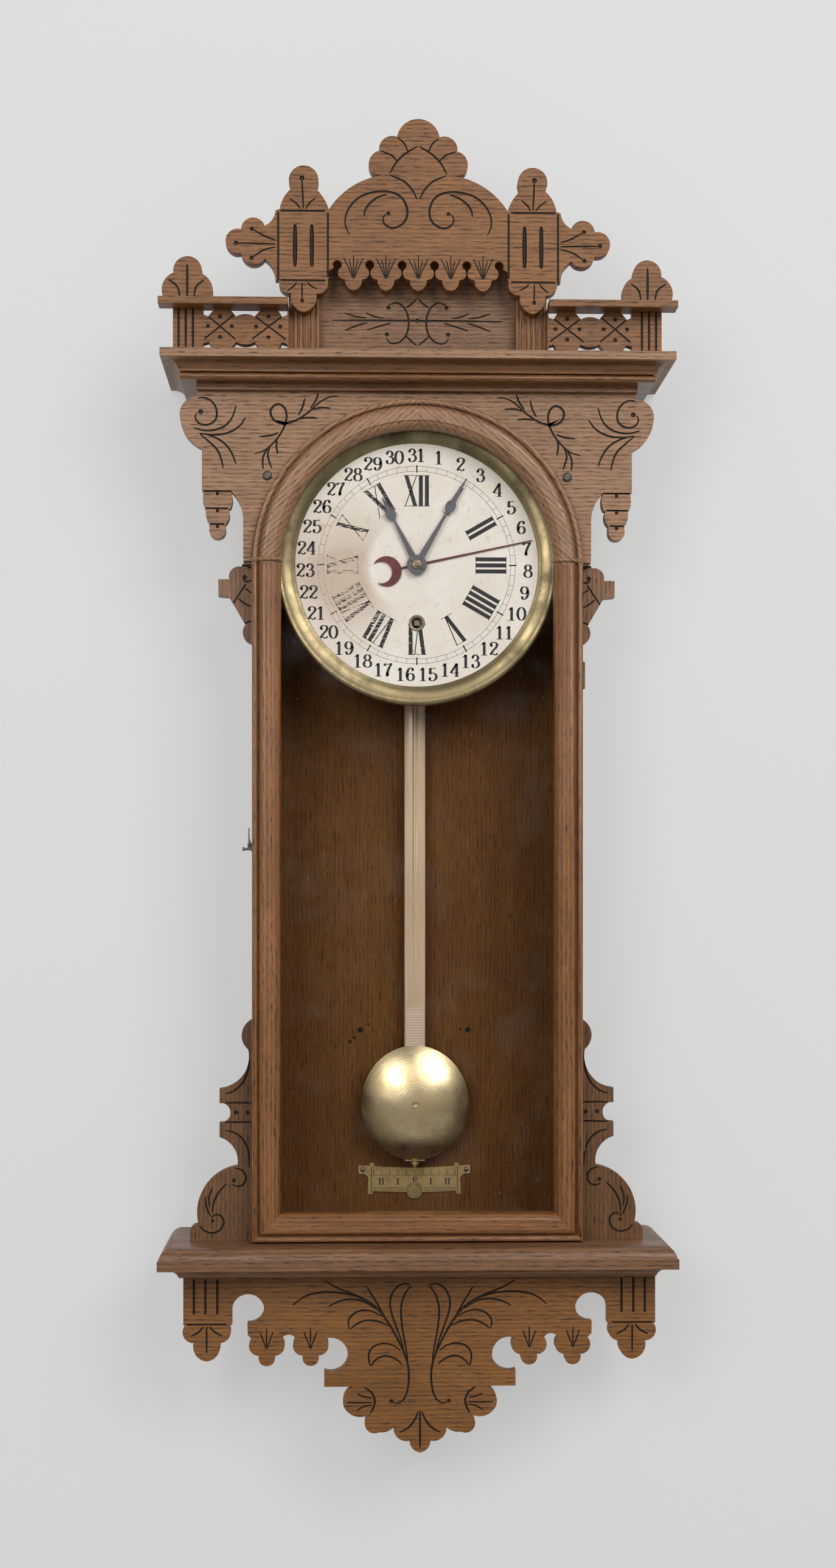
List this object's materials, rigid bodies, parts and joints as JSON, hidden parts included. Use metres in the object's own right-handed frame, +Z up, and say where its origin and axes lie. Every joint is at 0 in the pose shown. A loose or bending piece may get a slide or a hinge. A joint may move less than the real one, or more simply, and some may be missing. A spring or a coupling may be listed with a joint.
{
  "type": "wall clock",
  "caption": "Carved oak wall clock with an arched glazed door, calendar dial, wooden-stick pendulum and spring-driven movement.",
  "frame": {"origin": "centre of the hanging hole in the back's hanger plate, in the wall plane", "axes": "+Z up, +X to the right of someone facing the dial, +Y into the wall; the dial faces -Y"},
  "size_m": [0.421, 0.131, 1.0876],
  "materials": {
    "oak": "worn satin varnish over open-grained carved oak",
    "dark_oak": "dark unlit oak boards, matte",
    "pine": "plain unfinished softwood",
    "stained_wood": "tan straight-grained stick under a glossy varnish",
    "aged_brass": "aged brass with brown tarnish",
    "steel": "plain steel, slightly dulled",
    "hand_steel": "dark grey steel, satin",
    "red_hand": "dark red paint, worn",
    "dial_paper": "cream printed dial, stained and crackled",
    "clear_glass": "thin clear pane"
  },
  "bodies": {
    "case": {"backboard": "dark_oak", "case_side_left": "oak", "case_side_right": "oak", "cornice_cap": "oak", "cornice_moulding": "oak", "shelf": "oak", "shelf_cove": "oak", "apron": "oak", "spandrel_board": "oak", "upper_bracket_left": "oak", "upper_bracket_right": "oak", "lower_bracket_left": "oak", "lower_bracket_right": "oak", "fence_left": "oak", "fence_right": "oak", "fence_rails": "oak", "pilasters": "oak", "crest_panel": "oak", "crest_plaque": "oak", "case_screws": "steel", "hanger_plate": "steel", "dial_blocks": "pine", "dial": "dial_paper", "bezel": "aged_brass", "winding_grommet": "aged_brass", "beat_plate": "aged_brass", "hinge_case_leaves": "aged_brass", "hinge_pins": "aged_brass", "movement_plate_back": "aged_brass", "movement_plate_front": "aged_brass", "mainspring": "steel"},
    "door": {"door_stile_left": "oak", "door_stile_right": "oak", "door_rail": "oak", "door_arch_left": "oak", "door_arch_right": "oak", "door_glass": "clear_glass", "hinge_door_leaves": "aged_brass", "latch_stud": "aged_brass"},
    "latch": {"latch_hook": "aged_brass"},
    "pendulum": {"pendulum_rod": "stained_wood", "pendulum_bob": "aged_brass", "rating_nut": "aged_brass", "suspension_spring": "steel"},
    "verge": {"verge": "steel"},
    "centre_wheel": {"centre_wheel": "aged_brass"},
    "second_wheel": {"second_wheel": "aged_brass"},
    "great_wheel": {"great_wheel": "aged_brass"},
    "third_wheel": {"third_wheel": "aged_brass"},
    "escape_wheel": {"escape_wheel": "aged_brass"},
    "minute_train": {"centre_arbor": "steel", "minute_hand": "hand_steel", "hand_nut": "aged_brass"},
    "motion_wheel": {"motion_wheel": "aged_brass"},
    "hour_train": {"hour_wheel": "aged_brass", "hour_hand": "hand_steel"},
    "calendar_train": {"calendar_wheel": "aged_brass", "calendar_hand": "red_hand"},
    "winding_arbor": {"winding_arbor": "steel"},
    "click": {"click": "steel"}
  },
  "joints": [
    {"name": "door_hinge", "type": "hinge", "parent": "case", "child": "door", "pos_m": [0.1363, -0.0973, -0.458], "axis": [0, 0, 1], "range_deg": [0, 95]},
    {"name": "latch_lift", "type": "hinge", "parent": "case", "child": "latch", "pos_m": [-0.138, -0.072, -0.41], "axis": [-1, 0, 0], "range_deg": [-14, 50]},
    {"name": "pendulum_swing", "type": "hinge", "parent": "case", "child": "pendulum", "pos_m": [0, -0.028, -0.12], "axis": [0, -1, 0], "range_deg": [-2.5, 2.5]},
    {"name": "verge_rock", "type": "hinge", "parent": "case", "child": "verge", "pos_m": [0, -0.045, -0.12], "axis": [0, -1, 0], "range_deg": [-2.5, 2.5]},
    {"name": "centre_wheel_turn", "type": "hinge", "parent": "case", "child": "centre_wheel", "pos_m": [0, -0.055, -0.178], "axis": [0, -1, 0], "continuous": true},
    {"name": "second_wheel_turn", "type": "hinge", "parent": "case", "child": "second_wheel", "pos_m": [-0.02367, -0.055, -0.18881], "axis": [0, -1, 0], "continuous": true},
    {"name": "great_wheel_turn", "type": "hinge", "parent": "case", "child": "great_wheel", "pos_m": [0, -0.055, -0.226], "axis": [0, -1, 0], "continuous": true},
    {"name": "third_wheel_turn", "type": "hinge", "parent": "case", "child": "third_wheel", "pos_m": [0.01585, -0.055, -0.15614], "axis": [0, -1, 0], "continuous": true},
    {"name": "escape_wheel_turn", "type": "hinge", "parent": "case", "child": "escape_wheel", "pos_m": [0, -0.055, -0.142], "axis": [0, -1, 0], "continuous": true},
    {"name": "minute_turn", "type": "hinge", "parent": "case", "child": "minute_train", "pos_m": [0, -0.076, -0.178], "axis": [0, -1, 0], "continuous": true},
    {"name": "motion_wheel_turn", "type": "hinge", "parent": "case", "child": "motion_wheel", "pos_m": [0.01273, -0.071, -0.19073], "axis": [0, -1, 0], "continuous": true},
    {"name": "hour_turn", "type": "hinge", "parent": "case", "child": "hour_train", "pos_m": [0, -0.077, -0.178], "axis": [0, -1, 0], "continuous": true},
    {"name": "calendar_turn", "type": "hinge", "parent": "case", "child": "calendar_train", "pos_m": [0, -0.0778, -0.178], "axis": [0, -1, 0], "continuous": true},
    {"name": "winding_turn", "type": "hinge", "parent": "case", "child": "winding_arbor", "pos_m": [0, -0.055, -0.226], "axis": [0, -1, 0], "continuous": true},
    {"name": "click_lift", "type": "hinge", "parent": "great_wheel", "child": "click", "pos_m": [0.0155, -0.059, -0.223], "axis": [0, 1, 0], "range_deg": [0, 8], "stiffness_Nm_per_rad": 0.02, "springref_deg": -2.86}
  ],
  "couplings": [
    {"joint": "verge_rock", "follows": "pendulum_swing", "ratio": 1},
    {"joint": "second_wheel_turn", "follows": "centre_wheel_turn", "ratio": -0.25},
    {"joint": "great_wheel_turn", "follows": "centre_wheel_turn", "ratio": 0.041667},
    {"joint": "third_wheel_turn", "follows": "centre_wheel_turn", "ratio": -8},
    {"joint": "escape_wheel_turn", "follows": "centre_wheel_turn", "ratio": 60},
    {"joint": "motion_wheel_turn", "follows": "minute_turn", "ratio": -0.33333},
    {"joint": "hour_turn", "follows": "minute_turn", "ratio": 0.083333}
  ]
}
